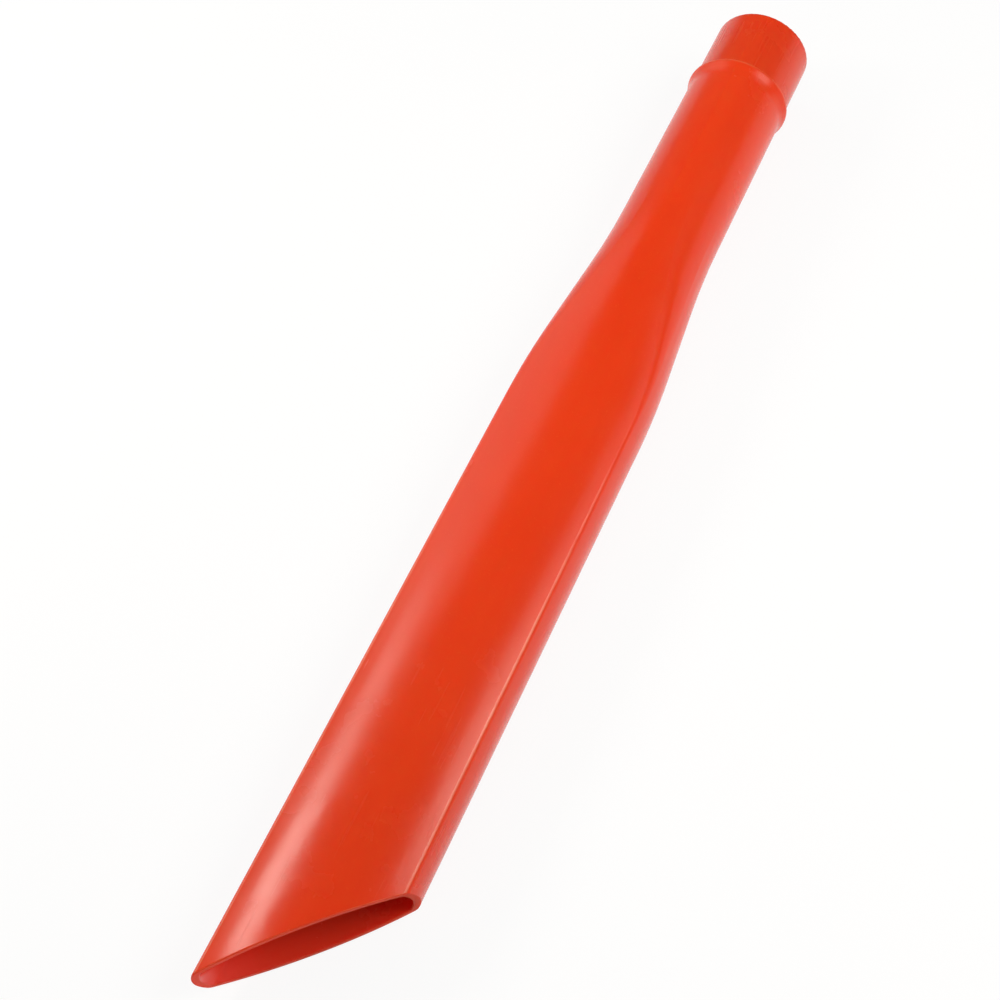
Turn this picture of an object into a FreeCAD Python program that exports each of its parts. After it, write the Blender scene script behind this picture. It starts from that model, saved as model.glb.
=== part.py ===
import FreeCAD, Part
import math
import os
import Sketcher

# A crevice tool for a vacuum hose, moulded in one piece.
# The spigot end is round, the mouth end is a wide flat blade cut off on a slant.
# The tool is drawn along X from the middle of the spigot end, then laid down on the floor.

doc = FreeCAD.newDocument("crevice_tool")

# Driving sizes, in millimetres and degrees
sizes = doc.addObject("Spreadsheet::Sheet", "Sizes")
DRIVING = [
    ("overall_length", "406.4"),
    ("tube_diameter", "38.1"),
    ("spigot_step", "0.25"),
    ("spigot_length", "28.2"),
    ("collar_rise", "1.25"),
    ("collar_land", "1.2"),
    ("collar_run", "3.4"),
    ("collar_round", "0.45"),
    ("collar_cove", "7"),
    ("wall", "2.1"),
    ("flare_start", "99.5"),
    ("flare_length", "92"),
    ("blade_width", "49.8"),
    ("blade_depth", "30"),
    ("tip_depth", "27.5"),
    ("crown_angle", "25.8"),
    ("side_angle", "20.7"),
    ("inner_corner", "0.6"),
    ("mouth_setback", "48"),
    ("end_round", "0.5"),
    ("rim_round", "0.4"),
]
for row, (word, number) in enumerate(DRIVING, start=1):
    sizes.set(f"A{row}", word)
    sizes.set(f"B{row}", number)
    sizes.setAlias(f"B{row}", word)
doc.recompute()

# Words for the expressions that bind the sketches to the sheet
TUBE = "Sizes.tube_diameter / 2"
SPIGOT = f"({TUBE} - Sizes.spigot_step)"
COLLAR = f"({TUBE} + Sizes.collar_rise)"
CORNER = "(Sizes.inner_corner + Sizes.wall)"
CROWN = "Sizes.crown_angle"
SIDE = "Sizes.side_angle"
FLARE_END = "(Sizes.flare_start + Sizes.flare_length)"
# Where the slanted cut would meet the longer narrow side if the rim were not rounded
POINT_ANGLE = "atan(Sizes.blade_width / Sizes.mouth_setback)"
POINT = f"(Sizes.overall_length + Sizes.rim_round * (1 / tan({POINT_ANGLE} / 2) - 1))"
# The blade is drawn past that point, so that the cut goes right through it
PAST_TIP = 8
# In the flare's first third, the share of the blade's form is this times the square of the way along
EASE = 2.25

body = doc.addObject("PartDesign::Body", "crevice_tool")
body.Label = "crevice_tool"
planes = {feature.Role: feature for feature in body.Origin.OriginFeatures}


def new_sketch(name, role):
    """An empty sketch of the body on one of its origin planes."""
    sketch = body.newObject("Sketcher::SketchObject", name)
    sketch.AttachmentSupport = [(planes[role], "")]
    sketch.MapMode = "FlatFace"
    return sketch


def bind(sketch, constraint, expression):
    """Add a dimension to a sketch and tie it to the sheet."""
    index = sketch.addConstraint(constraint)
    sketch.setExpression(f"Constraints[{index}]", expression)


def place_point(sketch, edge, end, across, along):
    """Hold a point of a sketch at two distances from the sketch's origin."""
    bind(sketch, Sketcher.Constraint("DistanceX", -1, 1, edge, end, number(across)), across)
    bind(sketch, Sketcher.Constraint("DistanceY", -1, 1, edge, end, number(along)), along)


def number(expression):
    """The present value of an expression."""
    return float(sizes.evalExpression(expression.replace("Sizes.", "")))


def draw_outline(sketch, corners):
    """A closed outline of straight lines with every corner held by two expressions."""
    points = [FreeCAD.Vector(number(across), number(along), 0) for across, along in corners]
    count = len(points)
    for index in range(count):
        sketch.addGeometry(Part.LineSegment(points[index], points[(index + 1) % count]), False)
    for index in range(count):
        sketch.addConstraint(Sketcher.Constraint("Coincident", index, 2, (index + 1) % count, 1))
    for index, (across, along) in enumerate(corners):
        place_point(sketch, index, 1, across, along)


def draw_section(name, station, share, half_depth, inset):
    """A cross-section of the tool square to X, of eight arcs that run smoothly into each other.

    share goes from 0, the round tube, to 1, the blade with its two crowned faces and two narrow sides.
    inset is the distance inside the outer skin."""
    spare_width = f"(Sizes.blade_width / 2 - {CORNER})"
    spare_depth = f"({half_depth} - {CORNER})"
    span = f"(sin({CROWN}) * sin({SIDE}) - (1 - cos({CROWN})) * (1 - cos({SIDE})))"
    # how much larger than the corner radius the radii of the crowned faces and of the narrow sides are
    crown = f"{share} * ({spare_width} * sin({SIDE}) - {spare_depth} * (1 - cos({SIDE}))) / {span}"
    side = f"{share} * ({spare_depth} * sin({CROWN}) - {spare_width} * (1 - cos({CROWN}))) / {span}"
    corner = f"({1 - share} * {TUBE} + {share} * {CORNER} - {inset})"
    crown_joint = (f"({crown} + {corner}) * sin({CROWN})", f"{side} * sin({SIDE}) + {corner} * cos({CROWN})")
    side_joint = (f"{crown} * sin({CROWN}) + {corner} * cos({SIDE})", f"({side} + {corner}) * sin({SIDE})")

    sketch = new_sketch(name, "YZ_Plane")
    sketch.setExpression("AttachmentOffset.Base.z", station)
    crown_size, side_size, corner_size = number(crown), number(side), number(corner)
    crown_turn, side_turn = math.radians(number(CROWN)), math.radians(number(SIDE))
    centre_across = crown_size * math.sin(crown_turn)
    centre_along = side_size * math.sin(side_turn)
    side_centre = centre_across - side_size * math.cos(side_turn)
    crown_centre = centre_along - crown_size * math.cos(crown_turn)
    quarter = math.pi / 2
    arcs = [
        (side_centre, 0, side_size + corner_size, -side_turn, side_turn),
        (centre_across, centre_along, corner_size, side_turn, quarter - crown_turn),
        (0, crown_centre, crown_size + corner_size, quarter - crown_turn, quarter + crown_turn),
        (-centre_across, centre_along, corner_size, quarter + crown_turn, 2 * quarter - side_turn),
        (-side_centre, 0, side_size + corner_size, 2 * quarter - side_turn, 2 * quarter + side_turn),
        (-centre_across, -centre_along, corner_size, 2 * quarter + side_turn, 3 * quarter - crown_turn),
        (0, -crown_centre, crown_size + corner_size, 3 * quarter - crown_turn, 3 * quarter + crown_turn),
        (centre_across, -centre_along, corner_size, 3 * quarter + crown_turn, 4 * quarter - side_turn),
    ]
    for across, along, radius, first, last in arcs:
        circle = Part.Circle(FreeCAD.Vector(across, along, 0), FreeCAD.Vector(0, 0, 1), radius)
        sketch.addGeometry(Part.ArcOfCircle(circle, first, last), False)
    for index in range(8):
        sketch.addConstraint(Sketcher.Constraint("Coincident", index, 2, (index + 1) % 8, 1))
    # the joints of one quarter are held by sizes and the others mirror them
    place_point(sketch, 0, 2, *side_joint)
    place_point(sketch, 1, 2, *crown_joint)
    for edge, mirrored, axis in [(1, 2, -2), (0, 3, -2), (0, 7, -1), (7, 4, -2), (1, 6, -1), (6, 5, -2)]:
        sketch.addConstraint(Sketcher.Constraint("Symmetric", edge, 2, mirrored, 2, axis))
    bind(sketch, Sketcher.Constraint("Radius", 0, side_size + corner_size), f"{side} + {corner}")
    bind(sketch, Sketcher.Constraint("Radius", 1, corner_size), corner)
    bind(sketch, Sketcher.Constraint("Radius", 2, crown_size + corner_size), f"{crown} + {corner}")
    for edge, same in [(0, 4), (1, 3), (1, 5), (1, 7), (2, 6)]:
        sketch.addConstraint(Sketcher.Constraint("Equal", edge, same))
    return sketch


def half_depth_at(station):
    """Half the depth of the blade over its crowns, which falls evenly towards the tip."""
    fall = "(Sizes.blade_depth - Sizes.tip_depth)"
    straight = f"(Sizes.overall_length - {FLARE_END})"
    return f"(Sizes.blade_depth - {fall} * ({station} - {FLARE_END}) / {straight}) / 2"


def flare_sections(name, inset):
    """Sections of the flare at sixths of its length, and one past the tip of the blade.

    The change from round to flat is eased in over the first third, even over the next
    and eased out over the last."""
    shares = {0: 0.0, 1: EASE / 36, 2: EASE / 9, 4: 1 - EASE / 9, 5: 1 - EASE / 36, 6: 1.0}
    sections = []
    for sixth, share in shares.items():
        station = f"(Sizes.flare_start + Sizes.flare_length * {sixth} / 6)"
        sections.append(draw_section(f"{name}_{sixth}", station, share, half_depth_at(station), inset))
    station = f"({POINT} + {PAST_TIP / 2})"
    sections.append(draw_section(f"{name}_end", station, 1.0, half_depth_at(station), inset))
    return sections


def loft_through(kind, name, sections):
    """The flare in three lofts that run smoothly into each other, and the straight blade."""
    spans = [("eased_in", sections[0:3], False), ("even", sections[2:4], True),
             ("eased_out", sections[3:6], False), ("blade", sections[5:7], True)]
    for word, chosen, ruled in spans:
        feature = body.newObject(kind, f"{name}_{word}")
        feature.Profile = chosen[0]
        feature.Sections = chosen[1:]
        feature.Ruled = ruled
        doc.recompute()


# Spigot, collar and plain tube, turned about X as a solid
LAND_END = "Sizes.spigot_length + Sizes.collar_land"
turned = new_sketch("turned_outline", "XZ_Plane")
draw_outline(turned, [
    ("0", "0"),
    ("0", SPIGOT),
    ("Sizes.spigot_length", SPIGOT),
    ("Sizes.spigot_length", COLLAR),
    (LAND_END, COLLAR),
    (f"{LAND_END} + Sizes.collar_run", TUBE),
    ("Sizes.flare_start", TUBE),
    ("Sizes.flare_start", "0"),
])
doc.recompute()
tube = body.newObject("PartDesign::Revolution", "tube")
tube.Profile = turned
tube.ReferenceAxis = (turned, ["H_Axis"])
tube.Angle = 360
doc.recompute()

# Outer skin of the flare and the blade
loft_through("PartDesign::AdditiveLoft", "outer", flare_sections("outer", "0"))

# The air way, inside the skin by the wall
bore_sketch = new_sketch("bore_circle", "YZ_Plane")
bore_radius = f"{TUBE} - Sizes.wall"
bore_circle = Part.Circle(FreeCAD.Vector(0, 0, 0), FreeCAD.Vector(0, 0, 1), number(bore_radius))
bore_sketch.addGeometry(bore_circle, False)
bore_sketch.addConstraint(Sketcher.Constraint("Coincident", 0, 3, -1, 1))
bind(bore_sketch, Sketcher.Constraint("Radius", 0, number(bore_radius)), bore_radius)
doc.recompute()
bore = body.newObject("PartDesign::Pocket", "bore")
bore.Profile = bore_sketch
bore.Reversed = True
bore.setExpression("Length", "Sizes.flare_start")
doc.recompute()
loft_through("PartDesign::SubtractiveLoft", "inner", flare_sections("inner", "Sizes.wall"))

# The mouth, cut off square to the faces and on a slant across the width
cut_sketch = new_sketch("mouth_cut", "XY_Plane")
CUT_SIDE = f"(Sizes.blade_width / 2 + {PAST_TIP} * Sizes.blade_width / Sizes.mouth_setback)"
draw_outline(cut_sketch, [
    (f"{POINT} + {PAST_TIP}", f"-{CUT_SIDE}"),
    (f"{POINT} + {PAST_TIP}", CUT_SIDE),
    (f"{POINT} - Sizes.mouth_setback - {PAST_TIP}", CUT_SIDE),
])
doc.recompute()
mouth = body.newObject("PartDesign::Pocket", "mouth")
mouth.Profile = cut_sketch
mouth.Type = "ThroughAll"
mouth.SideType = "Symmetric"
doc.recompute()


def edges_where(feature, test):
    """Names of the edges of a feature whose points all pass a test."""
    names = []
    for index, edge in enumerate(feature.Shape.Edges, start=1):
        low, high = edge.ParameterRange
        points = [edge.valueAt(low + (high - low) * step / 4) for step in range(5)]
        if all(test(point) for point in points):
            names.append(f"Edge{index}")
    return names


def on_mouth(point):
    """True on the plane of the slanted cut."""
    setback, width = number("Sizes.mouth_setback"), number("Sizes.blade_width")
    plane = number(POINT) - (point.y + width / 2) / width * setback
    return abs(point.x - plane) < 0.001


# Rounded rims at both ends
mouth_rim = body.newObject("PartDesign::Fillet", "mouth_rim")
mouth_rim.Base = (mouth, edges_where(mouth, on_mouth))
mouth_rim.setExpression("Radius", "Sizes.rim_round")
doc.recompute()
spigot_rim = body.newObject("PartDesign::Fillet", "spigot_rim")
spigot_rim.Base = (mouth_rim, edges_where(mouth_rim, lambda point: abs(point.x) < 0.001))
spigot_rim.setExpression("Radius", "Sizes.end_round")
doc.recompute()


def ring_at(feature, station, radius):
    """Names of the round edges of a feature at a station along X and a radius about X."""
    along, across = number(station), number(radius)
    return edges_where(feature, lambda point: abs(point.x - along) < 0.001
                       and abs(math.hypot(point.y, point.z) - across) < 0.001)


# The collar's two outer edges are rounded, and its slope runs out into the tube in a cove
collar_edges = body.newObject("PartDesign::Fillet", "collar_edges")
collar_edges.Base = (spigot_rim, ring_at(spigot_rim, "Sizes.spigot_length", COLLAR)
                     + ring_at(spigot_rim, LAND_END, COLLAR))
collar_edges.setExpression("Radius", "Sizes.collar_round")
doc.recompute()
collar_foot = body.newObject("PartDesign::Fillet", "collar_foot")
collar_foot.Base = (collar_edges, ring_at(collar_edges, f"{LAND_END} + Sizes.collar_run", TUBE))
collar_foot.setExpression("Radius", "Sizes.collar_cove")
doc.recompute()

# Laid on the floor: it touches under the start of the flare and under the middle of the mouth.
# The underside eases away from the tube as a parabola, so its tangent through the mouth has a closed form.
mouth_station = f"({POINT} - Sizes.mouth_setback / 2)"
reach = f"({mouth_station} - Sizes.flare_start)"
drop = f"({TUBE} - {half_depth_at(mouth_station)})"
flattening = f"({TUBE} - {half_depth_at('Sizes.flare_start')})"
bend = f"({EASE} * {flattening} / (Sizes.flare_length * Sizes.flare_length))"
touch = f"({reach} - sqrt({reach} * {reach} - {drop} / {bend}))"
lean = f"atan(2 * {bend} * {touch})"
touch_height = f"({TUBE} - {bend} * {touch} * {touch})"
floor_height = f"(Sizes.flare_start + {touch}) * sin({lean}) + {touch_height} * cos({lean})"
middle = f"(({SPIGOT} - Sizes.end_round) * sin({lean}) - Sizes.overall_length * cos({lean})) / 2"
body.Placement = FreeCAD.Placement(FreeCAD.Vector(0, 0, 0), FreeCAD.Rotation(FreeCAD.Vector(0, 1, 0), 1))
body.setExpression("Placement.Rotation.Angle", lean)
body.setExpression("Placement.Base.x", middle)
body.setExpression("Placement.Base.z", floor_height)
doc.recompute()

# Checks, then one file
for item in doc.Objects:
    bad = [word for word in item.State if word in ("Invalid", "Error")]
    if bad:
        raise RuntimeError(f"{item.Label} is {bad}")
shape = body.Shape
if shape.isNull() or not shape.isValid() or len(shape.Solids) != 1:
    raise RuntimeError("crevice_tool is not one valid solid")
os.makedirs("parts", exist_ok=True)
shape.exportStep("parts/crevice_tool.step")
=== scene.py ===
import math

import bmesh
import bpy
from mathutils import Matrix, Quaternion, Vector

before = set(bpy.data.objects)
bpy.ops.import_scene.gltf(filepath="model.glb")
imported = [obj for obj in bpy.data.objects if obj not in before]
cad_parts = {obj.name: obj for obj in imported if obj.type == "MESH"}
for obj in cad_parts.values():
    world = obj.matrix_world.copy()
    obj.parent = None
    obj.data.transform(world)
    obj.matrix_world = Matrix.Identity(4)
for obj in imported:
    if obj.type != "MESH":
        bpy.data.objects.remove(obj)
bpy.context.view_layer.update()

scene = bpy.context.scene
scene.view_settings.view_transform = "Standard"

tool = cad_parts["crevice_tool"]

# The spigot end's middle and the lean of the tool as it lies, as in the CAD model (metres and degrees)
SPIGOT_END = (-0.202995, 0.0, 0.0209833)
LEAN = 1.06225

# Plastic: reflection, and the light that goes through the wall (scale in metres)
PLASTIC_IOR = 1.37
THROUGH_WEIGHT = 0.65
THROUGH_RADIUS = (1.0, 0.14, 0.06)
THROUGH_SCALE = 0.007

# Colours of the plastic and of its wear, and of the painted highlights on the collar's edge and the creases
# and the painted shade at the ends
PIGMENT_DEEP = (0.75, 0.0375, 0.0022, 1.0)
PIGMENT_LIGHT = (0.79, 0.0450, 0.0040, 1.0)
SPECK = (0.80, 0.075, 0.010, 1.0)
WORN_EDGE = (0.80, 0.085, 0.020, 1.0)
PAINTED_COLLAR_HIGHLIGHT = (0.88, 0.145, 0.055, 1.0)
PAINTED_CREASE_HIGHLIGHT = (0.88, 0.24, 0.13, 1.0)
PAINTED_SHADE = (0.40, 0.040, 0.006, 1.0)
INNER_SKIN = (0.78, 0.046, 0.022, 1.0)

# Floor: radius and height of its rings in metres, points in a ring, and share of plain white seen
FLOOR_RINGS = [(0.0, 0.0), (1.0, 0.0), (2.0, 0.0), (3.0, 0.0), (3.3, 0.03),
               (3.55, 0.11), (3.75, 0.25), (3.9, 0.45), (4.0, 0.75)]
RING_POINTS = 96
WHITE_SHARE = 0.9

# Light: the room's strength, the softboxes' tint, and their distance from the tool and its height in metres
ROOM_LIGHT = 0.22
LAMP_TINT = (1.0, 0.95, 0.86)
LAMP_DISTANCE = 0.6
TOOL_HEIGHT = 0.02

# Camera, fitted to the photo's view (metres and millimetres)
CAMERA_PLACE = (0.243643, 0.141417, 0.425497)
CAMERA_TURN = (0.527973, 0.105563, 0.264045, 0.800238)
SENSOR_WIDTH = 36.0
FOCAL_LENGTH = 52.443


def new_material(name):
    """A new node material, its node tree and its shader."""
    material = bpy.data.materials.new(name)
    material.use_nodes = True
    return material, material.node_tree, material.node_tree.nodes["Principled BSDF"]


def noise(scale, detail=3.0, stretch=(1.0, 1.0, 1.0)):
    """Noise in metres of the tool's frame; a stretch below 1 draws it out along that axis."""
    mapping = add("ShaderNodeMapping")
    mapping.inputs["Scale"].default_value = stretch
    link(place, mapping.inputs["Vector"])
    texture = add("ShaderNodeTexNoise")
    texture.inputs["Scale"].default_value = scale
    texture.inputs["Detail"].default_value = detail
    link(mapping.outputs["Vector"], texture.inputs["Vector"])
    return texture.outputs["Fac"]


def spread(value, low, high, to_low, to_high):
    """The value carried from one range to another and held at its ends."""
    node = add("ShaderNodeMapRange")
    node.inputs["From Min"].default_value = low
    node.inputs["From Max"].default_value = high
    node.inputs["To Min"].default_value = to_low
    node.inputs["To Max"].default_value = to_high
    link(value, node.inputs["Value"])
    return node.outputs["Result"]


def combine(operation, first, second):
    """Two values worked together, either of which may be a number."""
    node = add("ShaderNodeMath")
    node.operation = operation
    for socket, value in zip(node.inputs, (first, second)):
        if isinstance(value, float):
            socket.default_value = value
        else:
            link(value, socket)
    return node.outputs["Value"]


def dot(first, second):
    """The dot product of two vectors."""
    node = add("ShaderNodeVectorMath")
    node.operation = "DOT_PRODUCT"
    link(first, node.inputs[0])
    link(second, node.inputs[1])
    return node.outputs["Value"]


def parts_of(vector):
    """The X, Y and Z of a vector, by name."""
    node = add("ShaderNodeSeparateXYZ")
    link(vector, node.inputs["Vector"])
    return node.outputs


def tinted(factor, first, second):
    """One colour turning to another by a factor; the first may come from another node."""
    node = add("ShaderNodeMix")
    node.data_type = "RGBA"
    link(factor, node.inputs["Factor"])
    for name, value in (("A_Color", first), ("B_Color", second)):
        socket = next(s for s in node.inputs if s.identifier == name)
        if isinstance(value, tuple):
            socket.default_value = value
        else:
            link(value, socket)
    return next(s for s in node.outputs if s.identifier == "Result_Color")


# Orange-red moulded plastic
plastic, tree, shader = new_material("shell_plastic")
add, link = tree.nodes.new, tree.links.new
shader.inputs["IOR"].default_value = PLASTIC_IOR
shader.inputs["Subsurface Weight"].default_value = THROUGH_WEIGHT
shader.inputs["Subsurface Radius"].default_value = THROUGH_RADIUS
shader.inputs["Subsurface Scale"].default_value = THROUGH_SCALE
place = add("ShaderNodeTexCoord").outputs["Object"]

# Pigment: slow clouds, streaks drawn out along the flow of the melt, and a fine grain
clouds = noise(16.0, 3.0)
streaks = noise(110.0, 4.0, (0.07, 1.0, 1.0))
pigment = combine("ADD", combine("MULTIPLY", clouds, 0.6), combine("MULTIPLY", streaks, 0.4))
colour = tinted(spread(pigment, 0.36, 0.64, 0.0, 1.0), PIGMENT_DEEP, PIGMENT_LIGHT)
specks = spread(noise(1300.0, 1.0), 0.66, 0.76, 0.0, 0.35)
colour = tinted(specks, colour, SPECK)

# Wear: edges that stand out are rubbed paler and duller, unevenly
round_edge = add("ShaderNodeBevel")
round_edge.samples = 6
round_edge.inputs["Radius"].default_value = 0.0011
surface = add("ShaderNodeNewGeometry").outputs
edge = spread(dot(round_edge.outputs["Normal"], surface["Normal"]), 0.995, 0.90, 0.0, 1.0)
worn = combine("MULTIPLY", edge, spread(noise(140.0, 4.0), 0.42, 0.66, 0.02, 0.30))
colour = tinted(worn, colour, WORN_EDGE)

# The tool's own axes, with X from the spigot end along the tool; the outer skin faces away from that axis
own = add("ShaderNodeMapping")
own.vector_type = "TEXTURE"
own.inputs["Location"].default_value = SPIGOT_END
own.inputs["Rotation"].default_value = (0.0, math.radians(LEAN), 0.0)
link(place, own.inputs["Vector"])
where = parts_of(own.outputs["Vector"])
station = where["X"]
from_axis = add("ShaderNodeCombineXYZ")
link(where["Y"], from_axis.inputs["Y"])
link(where["Z"], from_axis.inputs["Z"])
outside = spread(dot(from_axis.outputs["Vector"], surface["True Normal"]), 0.001, 0.004, 0.0, 1.0)

# Painted highlight: a thin pale line in the colour along the collar's edge, where its rounded edge catches
# the light
edge_start = spread(station, 0.0279, 0.0283, 0.0, 1.0)
edge_end = spread(station, 0.0287, 0.0293, 1.0, 0.0)
collar_highlight = combine("MULTIPLY", combine("MINIMUM", edge_start, edge_end), outside)
collar_highlight = combine("MULTIPLY", collar_highlight, spread(noise(120.0, 3.0), 0.3, 0.6, 0.35, 0.7))
colour = tinted(collar_highlight, colour, PAINTED_COLLAR_HIGHLIGHT)

# Painted highlight: the blade's long creases are made paler in the colour, on the side of the crowned
# faces, where a highlight runs along them
level = combine("ABSOLUTE", parts_of(surface["Normal"])["Z"], 0.0)
crease_highlight = combine("MINIMUM", spread(level, 0.70, 0.80, 0.0, 1.0), spread(level, 0.89, 0.905, 1.0, 0.0))
crease_highlight = combine("MULTIPLY", combine("MULTIPLY", crease_highlight, outside), spread(station, 0.20, 0.27, 0.0, 1.0))
crease_highlight = combine("MULTIPLY", crease_highlight, spread(noise(120.0, 4.0), 0.35, 0.65, 0.3, 0.7))
colour = tinted(crease_highlight, colour, PAINTED_CREASE_HIGHLIGHT)

# Painted shade: the spigot, where the cuff slides on, and the end near the mouth are made a little darker
# in the colour; the same mask places the scuffs below
spigot = spread(station, 0.034, 0.026, 0.0, 1.0)
mouth = spread(station, 0.26, 0.39, 0.0, 0.8)
shaded_and_scuffed_ends = combine("MAXIMUM", spigot, mouth)
painted_shade = combine("MULTIPLY", combine("MULTIPLY", shaded_and_scuffed_ends, outside), 0.2)
colour = tinted(painted_shade, colour, PAINTED_SHADE)

# The cut faces at the mouth and at the spigot end
end_on = spread(combine("ABSOLUTE", parts_of(surface["True Normal"])["X"], 0.0), 0.45, 0.60, 0.0, 1.0)
at_spigot = spread(station, 0.004, 0.003, 0.0, 1.0)
at_mouth = spread(station, 0.330, 0.340, 0.0, 1.0)
cut = combine("MULTIPLY", end_on, combine("MAXIMUM", at_spigot, at_mouth))

# The inner skin has a cooler red
inside = combine("MULTIPLY", combine("SUBTRACT", 1.0, outside), combine("SUBTRACT", 1.0, cut))
colour = tinted(combine("MULTIPLY", inside, 0.85), colour, INNER_SKIN)
link(colour, shader.inputs["Base Color"])

# Fine lengthwise scuffs, most of them on the spigot and near the mouth
hairs = spread(noise(900.0, 2.0, (0.02, 1.0, 1.0)), 0.60, 0.72, 0.0, 1.0)
patches = spread(noise(45.0, 2.0), 0.45, 0.62, 0.0, 1.0)
scuffed = combine("MULTIPLY", combine("ADD", shaded_and_scuffed_ends, 0.12), outside)
scuffs = combine("MULTIPLY", combine("MULTIPLY", hairs, patches), scuffed)

# Roughness: satin with dull and clear patches, duller on scuffs, worn edges and cut faces
small_patches = spread(noise(75.0, 4.0), 0.3, 0.7, 0.215, 0.275)
large_patches = spread(noise(11.0, 2.0), 0.35, 0.65, -0.015, 0.02)
roughness = combine("ADD", small_patches, large_patches)
for dulled, more in ((scuffs, 0.10), (worn, 0.15), (cut, 0.4)):
    roughness = combine("ADD", roughness, combine("MULTIPLY", dulled, more))
link(roughness, shader.inputs["Roughness"])

# Relief: moulded grain, uneven walls and scuffs, each with its strength, depth and whether it is sunk
reliefs = [
    (noise(1700.0, 2.0), 0.10, 0.00015, False),
    (noise(230.0, 2.0), 0.05, 0.0004, False),
    (noise(34.0, 2.0, (0.5, 1.0, 1.0)), 0.10, 0.0012, False),
    (scuffs, 0.07, 0.0001, True),
]
normal = None
for height, strength, depth, sunk in reliefs:
    bump = add("ShaderNodeBump")
    bump.inputs["Strength"].default_value = strength
    bump.inputs["Distance"].default_value = depth
    bump.invert = sunk
    link(height, bump.inputs["Height"])
    if normal is not None:
        link(normal, bump.inputs["Normal"])
    normal = bump.outputs["Normal"]
link(normal, shader.inputs["Normal"])
for slot in tool.material_slots:
    slot.material = plastic

# Pale floor that curves up far away, so that low views have a pale backdrop
dish = bmesh.new()
rings = []
for radius, height in FLOOR_RINGS:
    ring = []
    for i in range(RING_POINTS if radius else 1):
        turn = 2 * math.pi * i / RING_POINTS
        ring.append(dish.verts.new((radius * math.cos(turn), radius * math.sin(turn), height)))
    rings.append(ring)
for inner, outer in zip(rings, rings[1:]):
    for i in range(RING_POINTS):
        j = (i + 1) % RING_POINTS
        if len(inner) == 1:
            dish.faces.new((inner[0], outer[i], outer[j]))
        else:
            dish.faces.new((inner[i], outer[i], outer[j], inner[j]))
floor_mesh = bpy.data.meshes.new("floor")
dish.to_mesh(floor_mesh)
dish.free()
for face in floor_mesh.polygons:
    face.use_smooth = True
floor = bpy.data.objects.new("floor", floor_mesh)
scene.collection.objects.link(floor)

# The floor is seen nearly white, directly and in reflections, and keeps the tool's shadow
white, tree, shader = new_material("floor_white")
add, link = tree.nodes.new, tree.links.new
shader.inputs["Base Color"].default_value = (0.9, 0.9, 0.9, 1.0)
shader.inputs["Roughness"].default_value = 0.9
shader.inputs["Specular IOR Level"].default_value = 0.0
seen_white = add("ShaderNodeEmission")
seen_white.inputs["Color"].default_value = (1.0, 1.0, 1.0, 1.0)
path = add("ShaderNodeLightPath").outputs
sees = combine("MAXIMUM", path["Is Camera Ray"], path["Is Glossy Ray"])
sees = combine("MAXIMUM", sees, path["Is Transmission Ray"])
blend = add("ShaderNodeMixShader")
link(combine("MULTIPLY", sees, WHITE_SHARE), blend.inputs["Fac"])
link(shader.outputs["BSDF"], blend.inputs[1])
link(seen_white.outputs["Emission"], blend.inputs[2])
link(blend.outputs["Shader"], tree.nodes["Material Output"].inputs["Surface"])
floor.data.materials.append(white)

# Soft room light
world = bpy.data.worlds.new("studio")
scene.world = world
world.use_nodes = True
room = world.node_tree.nodes["Background"]
room.inputs["Color"].default_value = (1.0, 1.0, 1.0, 1.0)
room.inputs["Strength"].default_value = ROOM_LIGHT


def softbox(name, along, angle, width, height, radiance, distance=LAMP_DISTANCE):
    """A lamp facing the tool's axis from that distance; the angle goes from -Y over the top to +Y."""
    around = math.radians(angle)
    out = Vector((0.0, -math.cos(around), math.sin(around)))
    lamp = bpy.data.lights.new(name, "AREA")
    lamp.shape = "RECTANGLE"
    lamp.size = width
    lamp.size_y = height
    lamp.energy = radiance * math.pi * width * height
    lamp.color = LAMP_TINT
    holder = bpy.data.objects.new(name, lamp)
    scene.collection.objects.link(holder)
    holder.rotation_mode = "QUATERNION"
    holder.rotation_quaternion = (-out).to_track_quat("-Z", "Y")
    holder.location = Vector((along, 0.0, TOOL_HEIGHT)) + out * distance
    holder.visible_camera = False
    return holder


# A row of softboxes on each side of the tool
softbox("left_key", 0.105, 38.0, 0.13, 0.17, 18.0)
softbox("left_mid", -0.04, 38.0, 0.16, 0.20, 5.9)
softbox("left_far", -0.30, 38.0, 0.40, 0.50, 1.35)
softbox("right_near", 0.105, 134.0, 0.10, 0.30, 1.8)
softbox("right_key", -0.035, 134.0, 0.18, 0.30, 10.6)
softbox("right_mid", -0.20, 134.0, 0.15, 0.30, 4.0)
softbox("right_far", -0.35, 134.0, 0.15, 0.30, 2.1)

# A lamp close over the flare, which is the brightest part in the photo, kept out of the reflections
over_flare = softbox("over_flare", -0.03, 90.0, 0.15, 0.15, 0.8, distance=0.25)
over_flare.visible_glossy = False

# Camera at the photo's viewing angle
camera = bpy.data.objects.new("camera", bpy.data.cameras.new("camera"))
scene.collection.objects.link(camera)
camera.location = CAMERA_PLACE
camera.rotation_mode = "QUATERNION"
camera.rotation_quaternion = Quaternion(CAMERA_TURN)
camera.data.sensor_width = SENSOR_WIDTH
camera.data.lens = FOCAL_LENGTH
scene.camera = camera
